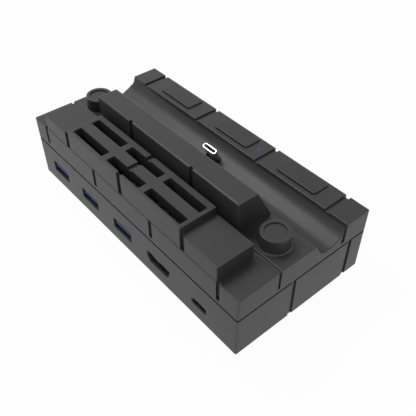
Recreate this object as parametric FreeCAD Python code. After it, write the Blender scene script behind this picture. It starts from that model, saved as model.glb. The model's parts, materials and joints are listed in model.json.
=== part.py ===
import FreeCAD
import Part
import math
import os

from FreeCAD import Matrix, Placement, Vector

# Handheld console dock, in millimetres.
# X runs along the length, -Y is the socket face and +Y the lip in front of the console.
# +Z is up, and the origin is on the desk under the middle of the dock.

# Outer box
length = 144.0
depth = 71.0
case_height = 21.1
deck_height = 32.5
corner_radius = 0.8
edge_radius = 0.4
end_edge_radius = 0.3

# Walls
wall = 2.4
floor_thickness = 2.4
skin = 2.2
block_skin = 2.0
inner_radius = 0.4

# Reveal between tray and cover, with an inner rim
reveal_depth = 0.8
reveal_cover = 0.35
reveal_case = 0.25
reveal_land = 0.1
reveal_drop = 1.0
parting_gap = 0.3
rim_height = 1.6
rim_thickness = 0.9
rim_clearance = 0.1

# Rubber feet
foot_proud = 1.0
foot_pocket = 1.2
foot_radius = 5.5
foot_edge = 0.4
foot_clearance = 0.1
foot_from_end = 10.0
foot_from_face = 8.0

# Console trough, backrest and lip
lip_width = 13.4
valley_height = 25.2
valley_from_back = 22.3
seat_angle = 24.0
back_angle = 61.0
valley_radius = 5.0
ramp_radius = 9.0
cove_width = 2.6
cove_angle = 50.0
cove_radius = 9.0
lip_curve = 3.0
deck_edge_radius = 0.8
backrest_height = 15.6
backrest_shift = 1.0
backrest_top = 9.8
backrest_corner = 0.7
backrest_edge = 0.5
backrest_rib = 1.4
backrest_bays = 4

# Bank behind the backrest, with its three blocks
bank_from_back = 52.9
bank_gap = 3.1
channel_width = 1.3
channel_depth = 1.0
block_inset = 0.25
block_edge = 0.4
vent_block_height = 10.7
step_block_height = 7.4
block_groove_width = 2.6
block_groove_depth = 1.2

# Moulded grooves, spaced like courses of bricks
brick_pitch = 20.4
groove_width = 2.0
groove_depth = 0.9
groove_from_parting = 2.25
lip_groove_width = 2.4
case_groove_width = 2.3
case_groove_first = 29.25
case_groove_second = 61.65
cover_end_groove = 56.3
end_groove_depth = 0.6

# Vent slots
slot_length = 22.6
slot_width = 4.1
slot_corner = 0.4
slot_pitch_x = 25.9
slot_from_face = 3.8
slot_from_bank = 5.0
slot_shift = 0.65
collar_wall = 1.1
collar_depth = 5.6

# Lip pads
pad_length = 21.8
pad_width = 9.4
pad_from_edge = 1.3
pad_proud = 0.9
pad_pocket = 0.8
pad_corner = 1.5
pad_clearance = 0.12
pad_edge = 0.35

# Round posts
post_from_end = 12.0
post_gap = 6.0
post_from_channel = 8.1
post_height = 6.5
post_top_radius = 6.15
post_base_radius = 7.0
post_base_height = 0.5
post_edge = 0.35
post_recess_radius = 4.55
post_recess_depth = 0.8
post_plate = 1.2
post_wall = 1.4
peg_radius = 3.0
peg_tail = 0.8

# Main circuit board
board_thickness = 1.6
board_underside = 5.55
board_end_margin = 7.0
board_front_margin = 0.7
board_back_margin = 1.5
board_corner = 2.0
board_bite = 0.5
standoff_radius = 3.0
standoff_from_end = 14.6
standoff_from_sockets = 5.7
standoff_from_back = 5.6
board_screw_radius = 1.25
board_screw_head_radius = 2.3
board_screw_head_height = 1.5
board_screw_grip = 2.4
hole_clearance = 0.15

# Screws between tray and cover
boss_from_end = 8.0
boss_from_face = 21.0
boss_radius = 4.2
boss_height = 15.0
boss_seat = 12.0
boss_meeting_gap = 0.2
cover_boss_radius = 3.5
case_screw_radius = 1.45
case_screw_head_radius = 2.75
case_screw_head_height = 2.0
case_screw_length = 9.0
head_bore_clearance = 0.35

# Sockets along the port face
port_pitch = 26.2
first_port_x = -54.5
port_recess = 0.3
window_clearance = 0.2
sheet = 0.3
fit_clearance = 0.05
data_width = 12.5
data_opening = 5.1
data_depth = 14.0
data_corner = 0.5
data_tongue_width = 11.2
data_tongue_thickness = 1.84
data_tongue_drop = 0.75
tongue_from_mouth = 1.0
socket_block_depth = 3.0
video_width = 14.4
video_opening = 4.95
video_depth = 11.5
video_side = 2.7
video_bevel = 1.7
video_corner = 0.5
video_tongue_width = 11.2
video_tongue_thickness = 1.1
inlet_width = 8.34
inlet_opening = 2.56
inlet_depth = 8.0
inlet_tongue_width = 6.7
inlet_tongue_thickness = 0.7
leg_width = 1.2
leg_length = 2.0
leg_clearance = 0.1

# Console plug, square to the slope that the console stands on
plug_from_valley = 2.3
plug_width = 8.25
plug_thickness = 2.4
plug_reach = 6.5
plug_wall = 0.35
plug_mouth = 0.3
plug_slot_width = 6.4
plug_slot_height = 0.8
plug_slot_depth = 4.4
plug_window_clearance = 0.2
plug_gap = 0.9
plug_gap_depth = 1.4
plug_base_length = 13.0
plug_base_width = 6.0
plug_base_height = 5.0
plug_base_gap = 0.1
plug_base_corner = 0.6
plug_board_length = 30.0
plug_board_width = 12.0
plug_board_thickness = 1.2
plug_boss_x = 11.5
plug_boss_radius = 2.3
plug_screw_radius = 1.0
plug_screw_head_radius = 1.9
plug_screw_head_height = 1.2
plug_screw_length = 4.0

# Flat ribbon and its two sockets
ribbon_width = 10.0
ribbon_thickness = 0.3
ribbon_bend = 2.8
ribbon_bow = 3.5
ribbon_insert = 2.0
ribbon_socket_length = 14.0
ribbon_socket_width = 3.0
ribbon_socket_height = 1.4
ribbon_socket_inset = 0.5
ribbon_socket_from_plug = 1.8

# Parts on the main board
hub_chip_size = 10.0
hub_chip_x = -26.0
display_chip_size = 9.0
display_chip_x = 12.0
power_chip_size = 6.0
power_chip_x = 34.0
chip_height = 1.0
thermal_pad_height = 0.8
spreader_overhang = 3.0
spreader_width = 16.0
spreader_from_sockets = 1.2
spreader_thickness = 1.2
spreader_corner = 1.0
spreader_slot_width = 1.6
spreader_slot_length = 10.0
spreader_slot_pitch = 5.0
coil_size = 6.0
coil_height = 3.2
coil_corner = 1.2
coil_from_end = 18.6
coil_gap = 1.5
coil_pitch = 8.5
coil_count = 2
capacitor_radius = 3.1
capacitor_height = 5.5
capacitor_edge = 0.4
capacitor_from_end = 24.6
capacitor_gap = 3.4
capacitor_pitch = 8.0
capacitor_count = 3

# Status light
light_x = 15.0
light_from_edge = 6.4
light_tip_radius = 0.75
light_rod_radius = 1.5
light_clearance = 0.1
light_gap = 0.2
led_length = 3.0
led_width = 2.0
led_height = 1.0
sleeve_wall = 1.0
sleeve_length = 8.0

# Heights and half sizes that follow from the values above
half_length = length / 2
half_depth = depth / 2
inner_x = half_length - wall
inner_y = half_depth - wall
case_bottom = foot_proud
case_floor = case_bottom + floor_thickness
parting_z = case_bottom + case_height
case_top = parting_z - parting_gap / 2
cover_bottom = parting_z + parting_gap / 2
groove_bottom = parting_z + groove_from_parting
deck_z = case_bottom + deck_height
valley_z = case_bottom + valley_height
backrest_z = deck_z + backrest_height
bank_y = half_depth - bank_from_back
backrest_back_y = bank_y + bank_gap
channel_y = backrest_back_y - channel_width
backrest_front_y = backrest_back_y + backrest_top
lip_y = half_depth - lip_width
valley_end_y = half_depth - valley_from_back
seat_slope = math.tan(math.radians(seat_angle))
back_slope = math.tan(math.radians(back_angle))
cove_y = lip_y - cove_width
cove_z = valley_z + (cove_y - valley_end_y) * seat_slope
foot_x = half_length - foot_from_end
foot_y = half_depth - foot_from_face
post_x = half_length - post_from_end
backrest_length = 2 * (post_x - post_base_radius - post_gap)
post_y = backrest_back_y + post_from_channel
light_y = half_depth - light_from_edge
pad_y = half_depth - pad_from_edge - pad_width / 2
board_z = case_bottom + board_underside
board_top = board_z + board_thickness
board_half_x = inner_x - board_end_margin
board_front_y = -inner_y + board_front_margin
board_back_y = inner_y - board_back_margin
boss_top_z = case_bottom + boss_height
boss_seat_z = case_bottom + boss_seat
port_mouth_y = -half_depth + port_recess
socket_back_y = port_mouth_y + data_depth
boss_x = half_length - boss_from_end
boss_y = half_depth - boss_from_face
standoff_x = board_half_x - standoff_from_end
standoff_front_y = socket_back_y + standoff_from_sockets
standoff_back_y = board_back_y - standoff_from_back
chip_y = socket_back_y + spreader_from_sockets + spreader_width / 2
coil_x = board_half_x - coil_from_end
coil_y = chip_y + spreader_width / 2 + coil_gap + coil_size / 2
capacitor_x = board_half_x - capacitor_from_end
capacitor_y = coil_y + coil_size / 2 + capacitor_gap + capacitor_radius
pad_top_z = board_top + chip_height + thermal_pad_height
plug_y = valley_end_y + plug_from_valley
plug_z = valley_z + plug_from_valley * seat_slope
ribbon_socket_y = plug_y + ribbon_socket_from_plug
plug_foot = -(skin + plug_base_gap + plug_base_height)
plug_board_under = plug_foot - plug_board_thickness
past = 1.0
near = 1e-3


def box(x0, x1, y0, y1, z0, z1):
    """Upright box between two corners."""
    return Part.makeBox(x1 - x0, y1 - y0, z1 - z0, Vector(x0, y0, z0))


def cylinder(radius, x, y, z0, z1):
    """Upright cylinder between two heights."""
    return Part.makeCylinder(radius, z1 - z0, Vector(x, y, z0))


def fused(shapes):
    """One solid from touching or overlapping shapes."""
    return shapes[0].fuse(shapes[1:]).removeSplitter()


def edges_where(shape, test):
    """Edges of a shape whose end points all pass a test."""
    return [edge for edge in shape.Edges if all(test(v.Point) for v in edge.Vertexes)]


def tangent_cuts(points, radii):
    """Length that each corner's arc takes from its two sides, limited by those sides."""
    count = len(points)
    cuts = []
    for i in range(count):
        before, here, after = points[i - 1], points[i], points[(i + 1) % count]
        heading_in = math.atan2(here[1] - before[1], here[0] - before[0])
        heading_out = math.atan2(after[1] - here[1], after[0] - here[0])
        turn = abs((heading_out - heading_in + math.pi) % (2 * math.pi) - math.pi)
        cuts.append(radii[i] * math.tan(turn / 2))
    for i in range(count):
        following = (i + 1) % count
        room = 0.98 * math.dist(points[i], points[following])
        wanted = cuts[i] + cuts[following]
        if wanted > room:
            cuts[i] *= room / wanted
            cuts[following] *= room / wanted
    return cuts


def corner_arc(before, here, after, cut):
    """Start, middle and end of the arc that rounds one corner."""
    to_before = Vector(before[0] - here[0], before[1] - here[1], 0).normalize()
    to_after = Vector(after[0] - here[0], after[1] - here[1], 0).normalize()
    half_angle = to_before.getAngle(to_after) / 2
    radius = cut * math.tan(half_angle)
    reach = radius / math.sin(half_angle) - radius
    corner = Vector(here[0], here[1], 0)
    middle = corner + (to_before + to_after).normalize() * reach
    return corner + to_before * cut, middle, corner + to_after * cut


def outline_face(points, radii, place):
    """Face of a closed outline with round corners; place turns its flat points into space."""
    cuts = tangent_cuts(points, radii)
    count = len(points)
    edges = []
    spans = []
    for i in range(count):
        if cuts[i] < near:
            corner = place(points[i][0], points[i][1])
            spans.append((corner, corner))
            continue
        arc = corner_arc(points[i - 1], points[i], points[(i + 1) % count], cuts[i])
        start, middle, end = [place(p.x, p.y) for p in arc]
        edges.append(Part.Arc(start, middle, end).toShape())
        spans.append((start, end))
    for i in range(count):
        edges.append(Part.makeLine(spans[i][1], spans[(i + 1) % count][0]))
    return Part.Face(Part.Wire(Part.__sortEdges__(edges)))


def moved_sides(points, distances):
    """Closed outline, drawn clockwise, whose sides are each moved inwards by their own distance."""
    count = len(points)
    lines = []
    for i in range(count):
        start, end = points[i], points[(i + 1) % count]
        run = (end[0] - start[0], end[1] - start[1])
        step = distances[i] / math.hypot(*run)
        lines.append(((start[0] + run[1] * step, start[1] - run[0] * step), run))
    result = []
    for i in range(count):
        (p, d), (q, e) = lines[i - 1], lines[i]
        cross = d[0] * e[1] - d[1] * e[0]
        t = ((q[0] - p[0]) * e[1] - (q[1] - p[1]) * e[0]) / cross
        result.append((p[0] + t * d[0], p[1] + t * d[1]))
    return result


def grown(points, distance):
    """Closed outline, drawn clockwise, made larger all round."""
    return moved_sides(points, [-distance] * len(points))


def rectangle(x, y, width, height):
    """Corner points of a rectangle about a centre, clockwise from its lower left."""
    left, right = x - width / 2, x + width / 2
    low, high = y - height / 2, y + height / 2
    return [(left, low), (left, high), (right, high), (right, low)]


def length_prism(points, radii, x0, x1):
    """Outline in depth and height, drawn out along the length."""
    face = outline_face(points, radii, lambda y, z: Vector(x0, y, z))
    return face.extrude(Vector(x1 - x0, 0, 0))


def depth_prism(points, radii, y0, y1):
    """Outline in length and height, drawn out from the port face inwards."""
    face = outline_face(points, radii, lambda x, z: Vector(x, y0, z))
    return face.extrude(Vector(0, y1 - y0, 0))


def rounded_box(x0, x1, y0, y1, z0, z1, radius):
    """Upright box with round upright edges."""
    points = rectangle((x0 + x1) / 2, (y0 + y1) / 2, x1 - x0, y1 - y0)
    face = outline_face(points, [radius] * 4, lambda x, y: Vector(x, y, z0))
    return face.extrude(Vector(0, 0, z1 - z0))


def soft_box(x0, x1, y0, y1, z0, z1, radius):
    """Box whose edges are rounded, apart from the four at its foot."""
    solid = box(x0, x1, y0, y1, z0, z1)
    edges = [e for e in solid.Edges if max(v.Z for v in e.Vertexes) > z0 + near]
    return solid.makeFillet(radius, edges)


def plan_slice(inset, z0, z1):
    """Slice of the dock's plan between two heights, drawn in all round."""
    half_x, half_y = half_length - inset, half_depth - inset
    return rounded_box(-half_x, half_x, -half_y, half_y, z0, z1, corner_radius)


def plan_taper(low_inset, high_inset, z0, z1):
    """Slice of the dock's plan whose sides lean between two heights."""
    wires = []
    for inset, z in ((low_inset, z0), (high_inset, z1)):
        points = rectangle(0, 0, 2 * (half_length - inset), 2 * (half_depth - inset))
        face = outline_face(points, [corner_radius] * 4, lambda x, y: Vector(x, y, z))
        wires.append(face.OuterWire)
    return Part.makeLoft(wires, True, True)


def at_plug(shape):
    """Shape drawn about the plug's own axis, put in its place on the seat slope."""
    matrix = Matrix()
    matrix.rotateX(math.radians(seat_angle))
    matrix.move(Vector(0, plug_y, plug_z))
    moved = shape.copy()
    moved.Placement = Placement(matrix).multiply(moved.Placement)
    return moved


def from_plug(y, z):
    """Depth and height in the dock of a point in the plug's own frame."""
    sine, cosine = math.sin(math.radians(seat_angle)), math.cos(math.radians(seat_angle))
    return plug_y + y * cosine - z * sine, plug_z + y * sine + z * cosine


def back_y(z):
    """Depth position of the leaning back surface at a height."""
    return backrest_front_y + (backrest_z - z) / back_slope


def section_points():
    """Outer corners of the cover's cross-section, from the port face over the top to the lip."""
    return [
        (-half_depth, cover_bottom),
        (-half_depth, deck_z),
        (channel_y, deck_z),
        (channel_y, deck_z - channel_depth),
        (backrest_back_y, deck_z - channel_depth),
        (backrest_back_y, deck_z),
        (back_y(deck_z), deck_z),
        (back_y(valley_z), valley_z),
        (valley_end_y, valley_z),
        (cove_y, cove_z),
        (lip_y, cove_z + cove_width * math.tan(math.radians(cove_angle))),
        (lip_y, deck_z),
        (half_depth, deck_z),
        (half_depth, cover_bottom),
    ]


def cover_body():
    """Solid form of the cover without its blocks: section, stepped skirt and soft end edges."""
    radii = [0, edge_radius, edge_radius, inner_radius, inner_radius, edge_radius, deck_edge_radius]
    radii += [valley_radius, ramp_radius, cove_radius, lip_curve, edge_radius, edge_radius, 0]
    body = length_prism(section_points(), radii, -half_length, half_length)
    ends = [e for e in body.Edges if e.BoundBox.XLength < near and e.BoundBox.ZMax > cover_bottom + near]
    body = body.makeFillet(end_edge_radius, ends)
    skirt_top = cover_bottom + reveal_cover
    skirt = plan_slice(reveal_depth, cover_bottom, skirt_top)
    return body.common(skirt.fuse(plan_slice(0, skirt_top, deck_z + past)))


def backrest_points(foot_z):
    """Corners of the backrest bar's cross-section above a height."""
    return [
        (backrest_back_y, foot_z),
        (backrest_back_y, backrest_z),
        (backrest_front_y, backrest_z),
        (back_y(foot_z), foot_z),
    ]


def backrest():
    """Bar that the console leans on, with soft ends."""
    foot_z = deck_z - channel_depth
    start = backrest_shift - backrest_length / 2
    bar = length_prism(backrest_points(foot_z), [0, backrest_corner, backrest_corner, 0],
                       start, start + backrest_length)
    ends = [e for e in bar.Edges if e.BoundBox.XLength < near and e.BoundBox.ZMax > foot_z + near]
    return bar.makeFillet(backrest_edge, ends)


def block_spans():
    """Start, end and height of the three blocks on the bank; the lower two run into the vent block."""
    vent_end = 2 * brick_pitch - block_groove_width / 2
    outer_end = 3 * brick_pitch - groove_width / 2
    return [
        (-outer_end, past - vent_end, step_block_height),
        (-vent_end, vent_end, vent_block_height),
        (vent_end - past, outer_end, step_block_height),
    ]


def blocks():
    """Vent block and the two lower blocks beside it."""
    foot_z = deck_z - channel_depth
    front_y = -half_depth + block_inset
    return [
        soft_box(x0, x1, front_y, bank_y, foot_z, deck_z + height, block_edge)
        for x0, x1, height in block_spans()
    ]


def cover_cavities():
    """Spaces inside the cover: under the section, in each block and in the backrest's bays."""
    points = section_points()
    distances = [wall] + [skin] * (len(points) - 3) + [wall, -past]
    under = length_prism(moved_sides(points, distances), [inner_radius] * len(points), -inner_x, inner_x)
    rebate_x = inner_x + rim_thickness + rim_clearance
    rebate_y = inner_y + rim_thickness + rim_clearance
    rebate = rounded_box(-rebate_x, rebate_x, -rebate_y, rebate_y, cover_bottom - past,
                         case_top + rim_height + rim_clearance, corner_radius)
    cavities = [under, rebate]
    under_deck = deck_z - skin - inner_radius
    front_y = -half_depth + block_inset + block_skin
    for x0, x1, height in block_spans():
        top = deck_z + height - block_skin
        cavities.append(box(x0 + block_skin, x1 - block_skin, front_y, bank_y - block_skin, under_deck, top))
    bar_foot = deck_z - channel_depth - skin - inner_radius
    bar_points = moved_sides(backrest_points(bar_foot), [skin, skin, skin, 0])
    bay = (backrest_length - 2 * skin - (backrest_bays - 1) * backrest_rib) / backrest_bays
    for i in range(backrest_bays):
        start = backrest_shift - backrest_length / 2 + skin + i * (bay + backrest_rib)
        cavities.append(length_prism(bar_points, [0, inner_radius, inner_radius, 0], start, start + bay))
    return cavities


def boss_places():
    """Centres of the four screws between tray and cover."""
    return [(x, y) for x in (-boss_x, boss_x) for y in (-boss_y, boss_y)]


def standoff_places():
    """Centres of the four screws that hold the main board."""
    return [(x, y) for x in (-standoff_x, standoff_x) for y in (standoff_front_y, standoff_back_y)]


def foot_places():
    """Centres of the four feet."""
    return [(x, y) for x in (-foot_x, foot_x) for y in (-foot_y, foot_y)]


def cover_pillars():
    """Pillars that hang from the cover: for the case screws, the plug board and the light."""
    low = boss_top_z + boss_meeting_gap
    pillars = [cylinder(cover_boss_radius, x, y, low, deck_z) for x, y in boss_places()]
    for x in (-plug_boss_x, plug_boss_x):
        pillars.append(at_plug(cylinder(plug_boss_radius, x, 0, plug_foot, 0)))
    sleeve_radius = light_rod_radius + light_clearance + sleeve_wall
    pillars.append(cylinder(sleeve_radius, light_x, light_y, deck_z - skin - sleeve_length, deck_z))
    return pillars


def screw_and_peg_holes():
    """Pilots for the case and plug board screws, and the holes of the posts' pegs."""
    holes = []
    for x, y in boss_places():
        top = boss_seat_z + case_screw_length + fit_clearance
        holes.append(cylinder(case_screw_radius + fit_clearance, x, y, boss_top_z, top))
    for x in (-plug_boss_x, plug_boss_x):
        top = plug_board_under + plug_screw_length + fit_clearance
        holes.append(at_plug(cylinder(plug_screw_radius + fit_clearance, x, 0, plug_foot - past, top)))
    for x in (-post_x, post_x):
        holes.append(cylinder(peg_radius + fit_clearance, x, post_y, deck_z - skin - past, deck_z + past))
    return holes


def plug_window():
    """Hole in the seat slope that the plug passes through, with a gap on the backrest's side."""
    hole = plug_thickness / 2 + plug_window_clearance
    half = plug_width / 2 + plug_window_clearance
    through = at_plug(rounded_box(-half, half, -hole, hole, -skin - past, past, hole))
    gap = at_plug(rounded_box(-half, half, -hole - plug_gap, hole, -plug_gap_depth, past, hole))
    return [through, gap]


def slot_prisms(margin, low, high):
    """Two rows of three slot outlines, grown by a margin, between two heights."""
    half_x = slot_length / 2 + margin
    half_y = slot_width / 2 + margin
    prisms = []
    for column in (-1, 0, 1):
        x = slot_shift + column * slot_pitch_x
        for y in (-half_depth + slot_from_face, bank_y - slot_from_bank):
            prisms.append(rounded_box(x - half_x, x + half_x, y - half_y, y + half_y,
                                      low, high, slot_corner + margin))
    return prisms


def slot_collars():
    """Walls that line each slot below the top of the vent block."""
    top = deck_z + vent_block_height
    return slot_prisms(collar_wall, top - collar_depth, top - block_skin / 2)


def vent_slots():
    """Slots through the top of the vent block and its collars."""
    top = deck_z + vent_block_height
    return slot_prisms(0, top - collar_depth - past, top + past)


def pad_places():
    """Middles of the three lip pads along the length."""
    return [-2 * brick_pitch, 0, 2 * brick_pitch]


def lip_holes():
    """Pockets of the lip pads and the stepped hole of the light guide."""
    holes = []
    half_x = pad_length / 2 + pad_clearance
    half_y = pad_width / 2 + pad_clearance
    for x in pad_places():
        holes.append(rounded_box(x - half_x, x + half_x, pad_y - half_y, pad_y + half_y,
                                 deck_z - pad_pocket, deck_z + past, pad_corner + pad_clearance))
    shoulder = deck_z - skin
    low = shoulder - sleeve_length - past
    holes.append(cylinder(light_rod_radius + light_clearance, light_x, light_y, low, shoulder))
    holes.append(cylinder(light_tip_radius + light_clearance, light_x, light_y, shoulder, deck_z + past))
    return holes


def end_cutter(side, depth_in, y0, y1, z0, z1):
    """Groove cutter on one end face; side is -1 or 1."""
    x0, x1 = sorted((side * (half_length + past), side * (half_length - depth_in)))
    return box(x0, x1, y0, y1, z0, z1)


def cover_grooves():
    """Moulded grooves of the cover, which divide it like courses of bricks."""
    half = groove_width / 2
    lip_half = lip_groove_width / 2
    top = deck_z + past
    out_y = half_depth + past
    end_y = -half_depth + cover_end_groove
    grooves = []
    for side in (-1, 1):
        for x, high in ((side * brick_pitch, deck_z), (side * 3 * brick_pitch, top)):
            grooves.append(box(x - half, x + half, -out_y, -half_depth + groove_depth, groove_bottom, high))
            x0, x1 = x - lip_half, x + lip_half
            grooves.append(box(x0, x1, lip_y - past, out_y, deck_z - groove_depth, top))
            grooves.append(box(x0, x1, half_depth - groove_depth, out_y, groove_bottom, top))
        x = side * brick_pitch
        grooves.append(box(x - half, x + half, backrest_back_y - past, backrest_back_y + groove_depth,
                           deck_z - channel_depth, backrest_z + past))
        grooves.append(end_cutter(side, end_groove_depth, channel_y, backrest_back_y, groove_bottom, top))
        grooves.append(end_cutter(side, end_groove_depth, end_y - half, end_y + half, groove_bottom, top))
    return grooves


def vent_block_grooves():
    """Groove over the middle of the vent block, and those down the port face at its middle and ends."""
    half = block_groove_width / 2
    face_y = -half_depth + block_inset
    block_top = deck_z + vent_block_height
    high = block_top + past
    grooves = [box(-half, half, face_y - past, bank_y + past, block_top - block_groove_depth, high)]
    for x in (-2 * brick_pitch, 0, 2 * brick_pitch):
        grooves.append(box(x - half, x + half, face_y - past, face_y + block_groove_depth, deck_z, high))
    return grooves


def upper_cover():
    """Moulded cover with trough, backrest, blocks and lip."""
    outer = cover_body().fuse(blocks() + [backrest()]).removeSplitter()
    room = outer.fuse(box(-inner_x, inner_x, -inner_y, inner_y, case_floor, cover_bottom + past))
    pillars = [room.common(pillar) for pillar in cover_pillars()]
    shell = outer.cut(cover_cavities()).fuse(pillars + slot_collars())
    openings = screw_and_peg_holes() + plug_window() + vent_slots() + lip_holes()
    return shell.cut(openings + cover_grooves() + vent_block_grooves()).removeSplitter()


def case_tray():
    """Open tray; behind its edge a slope falls to the inner rim that enters the cover."""
    step_z = case_top - reveal_case
    body = plan_slice(0, case_bottom, step_z)
    body = body.makeFillet(edge_radius, edges_where(body, lambda p: p.z < case_bottom + near))
    rim_x = inner_x + rim_thickness
    rim_y = inner_y + rim_thickness
    rim_top = case_top + rim_height
    rim = rounded_box(-rim_x, rim_x, -rim_y, rim_y, step_z - 2 * reveal_drop, rim_top, corner_radius)
    inside = rounded_box(-inner_x, inner_x, -inner_y, inner_y, case_floor, rim_top + past, corner_radius)
    slope = plan_taper(wall - rim_thickness, reveal_land, step_z - reveal_drop, step_z)
    return fused([body.cut(slope), rim]).cut(inside)


def case_holes():
    """Bores in the tray for its screws and the pockets of the feet."""
    below = case_bottom - past
    holes = []
    for x, y in boss_places():
        holes.append(cylinder(case_screw_head_radius + head_bore_clearance, x, y, below, boss_seat_z))
        holes.append(cylinder(case_screw_radius + hole_clearance, x, y, boss_seat_z, boss_top_z + past))
    for x, y in standoff_places():
        low = board_z - board_screw_grip - fit_clearance
        holes.append(cylinder(board_screw_radius + fit_clearance, x, y, low, board_z + past))
    for x, y in foot_places():
        holes.append(cylinder(foot_radius + foot_clearance, x, y, below, case_bottom + foot_pocket))
    return holes


def case_openings():
    """Socket windows and end grooves of the tray."""
    cuts = []
    for outline, x in port_list():
        points, radii = outline(x)
        window = grown(points, sheet + window_clearance)
        cuts.append(depth_prism(window, [r + sheet for r in radii], -half_depth - past, -inner_y + past))
    half = case_groove_width / 2
    for side in (-1, 1):
        for middle in (case_groove_first, case_groove_second):
            y = -half_depth + middle
            cuts.append(end_cutter(side, end_groove_depth, y - half, y + half,
                                   case_bottom - past, case_top + past))
    return cuts


def lower_case():
    """Moulded tray with the socket windows, bosses, standoffs and foot pockets."""
    pillars = [cylinder(boss_radius, x, y, case_bottom + past, boss_top_z) for x, y in boss_places()]
    pillars += [cylinder(standoff_radius, x, y, case_bottom + past, board_z) for x, y in standoff_places()]
    return case_tray().fuse(pillars).cut(case_holes() + case_openings()).removeSplitter()


def foot(x, y):
    """Round rubber foot in its pocket."""
    solid = cylinder(foot_radius, x, y, 0, foot_proud + foot_pocket)
    return solid.makeFillet(foot_edge, edges_where(solid, lambda p: p.z < near))


def lip_pad(x):
    """Raised pad in its shallow pocket on the lip."""
    top = deck_z + pad_proud
    solid = rounded_box(x - pad_length / 2, x + pad_length / 2, pad_y - pad_width / 2, pad_y + pad_width / 2,
                        deck_z - pad_pocket, top, pad_corner)
    return solid.makeFillet(pad_edge, edges_where(solid, lambda p: p.z > top - near))


def post(x):
    """Round post with a ring rim, hollow below and held by a peg."""
    top = deck_z + post_height
    ceiling = top - post_recess_depth - post_plate
    hollow = post_top_radius - post_wall
    profile = [
        (0, deck_z - skin - peg_tail),
        (peg_radius, deck_z - skin - peg_tail),
        (peg_radius, ceiling),
        (hollow, ceiling),
        (hollow, deck_z),
        (post_base_radius, deck_z),
        (post_base_radius - post_base_height, deck_z + post_base_height),
        (post_top_radius, top),
        (post_recess_radius, top),
        (post_recess_radius, top - post_recess_depth),
        (0, top - post_recess_depth),
    ]
    radii = [0, 0, 0, 0, 0, 0, 0, post_edge, post_edge, 0, 0]
    face = outline_face(profile, radii, lambda r, z: Vector(r, 0, z))
    solid = face.revolve(Vector(0, 0, 0), Vector(0, 0, 1), 360)
    return solid.translated(Vector(x, post_y, 0))


def data_outline(x):
    """Opening of the flat wide data socket."""
    z = board_top + sheet + data_opening / 2
    return rectangle(x, z, data_width, data_opening), [data_corner] * 4


def video_outline(x):
    """Opening of the video socket, whose lower corners are bevelled."""
    half = video_width / 2
    low = board_top + sheet
    high = low + video_opening
    points = [
        (x - half + video_bevel, low),
        (x - half, high - video_side),
        (x - half, high),
        (x + half, high),
        (x + half, high - video_side),
        (x + half - video_bevel, low),
    ]
    return points, [video_corner] * 6


def inlet_outline(x):
    """Opening of the small power inlet, round at both ends."""
    z = board_top + sheet + inlet_opening / 2
    return rectangle(x, z, inlet_width, inlet_opening), [inlet_opening / 2] * 4


def port_list():
    """Outline and place of the five sockets, from the left."""
    outlines = [data_outline, data_outline, data_outline, video_outline, inlet_outline]
    return [(outline, first_port_x + i * port_pitch) for i, outline in enumerate(outlines)]


def leg_boxes(outline, x, socket_depth, clearance):
    """Solder legs at both sides of a socket, or their slots in the board."""
    points, radii = outline(x)
    half = max(p[0] for p in points) - x + sheet / 2
    top = (min(p[1] for p in points) + max(p[1] for p in points)) / 2
    y = port_mouth_y + (socket_depth + wall) / 2
    thick = sheet / 2 + clearance
    wide = leg_width / 2 + clearance
    return [
        box(side - thick, side + thick, y - wide, y + wide, board_top - leg_length, top)
        for side in (x - half, x + half)
    ]


def socket_shell(outline, x, socket_depth):
    """Folded sheet tube of a socket with its solder legs."""
    points, radii = outline(x)
    back = port_mouth_y + socket_depth
    outside = depth_prism(grown(points, sheet), [r + sheet for r in radii], port_mouth_y, back)
    inside = depth_prism(points, radii, port_mouth_y - past, back + past)
    return outside.fuse(leg_boxes(outline, x, socket_depth, 0)).cut(inside).removeSplitter()


def socket_tongue(outline, x, socket_depth, width, thickness, drop):
    """Contact tongue of a socket, carried by the block that closes the shell's rear."""
    points, radii = outline(x)
    back = port_mouth_y + socket_depth
    block = depth_prism(grown(points, -fit_clearance), radii, back - socket_block_depth, back)
    high = max(p[1] for p in points)
    tongue = depth_prism(rectangle(x, high - drop - thickness / 2, width, thickness), [0] * 4,
                         port_mouth_y + tongue_from_mouth, back - socket_block_depth)
    return fused([block, tongue])


def centred_drop(opening, thickness):
    """Distance from a socket's roof to a tongue in its middle."""
    return (opening - thickness) / 2


def plug_shell():
    """Steel tube of the console plug, from the plug board to its mouth."""
    half_x, half_y = plug_width / 2, plug_thickness / 2
    outside = rounded_box(-half_x, half_x, -half_y, half_y, plug_foot, plug_reach, half_y)
    in_x, in_y = half_x - plug_wall, half_y - plug_wall
    inside = rounded_box(-in_x, in_x, -in_y, in_y, plug_foot - past, plug_reach + past, in_y)
    return at_plug(outside.cut(inside))


def plug_core():
    """Insert of the console plug with the slot for the console's contacts."""
    in_x = plug_width / 2 - plug_wall - fit_clearance
    in_y = plug_thickness / 2 - plug_wall - fit_clearance
    top = plug_reach - plug_mouth
    core = rounded_box(-in_x, in_x, -in_y, in_y, plug_foot, top, in_y)
    half_x, half_y = plug_slot_width / 2, plug_slot_height / 2
    return at_plug(core.cut(box(-half_x, half_x, -half_y, half_y, top - plug_slot_depth, top + past)))


def plug_base():
    """Moulded block round the plug, between the seat slope and the plug board."""
    half_x, half_y = plug_base_length / 2, plug_base_width / 2
    top = plug_foot + plug_base_height
    block = rounded_box(-half_x, half_x, -half_y, half_y, plug_foot, top, plug_base_corner)
    hole_x = plug_width / 2 + fit_clearance
    hole_y = plug_thickness / 2 + fit_clearance
    hole = rounded_box(-hole_x, hole_x, -hole_y, hole_y, plug_foot - past, top + past, hole_y)
    return at_plug(block.cut(hole))


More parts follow.
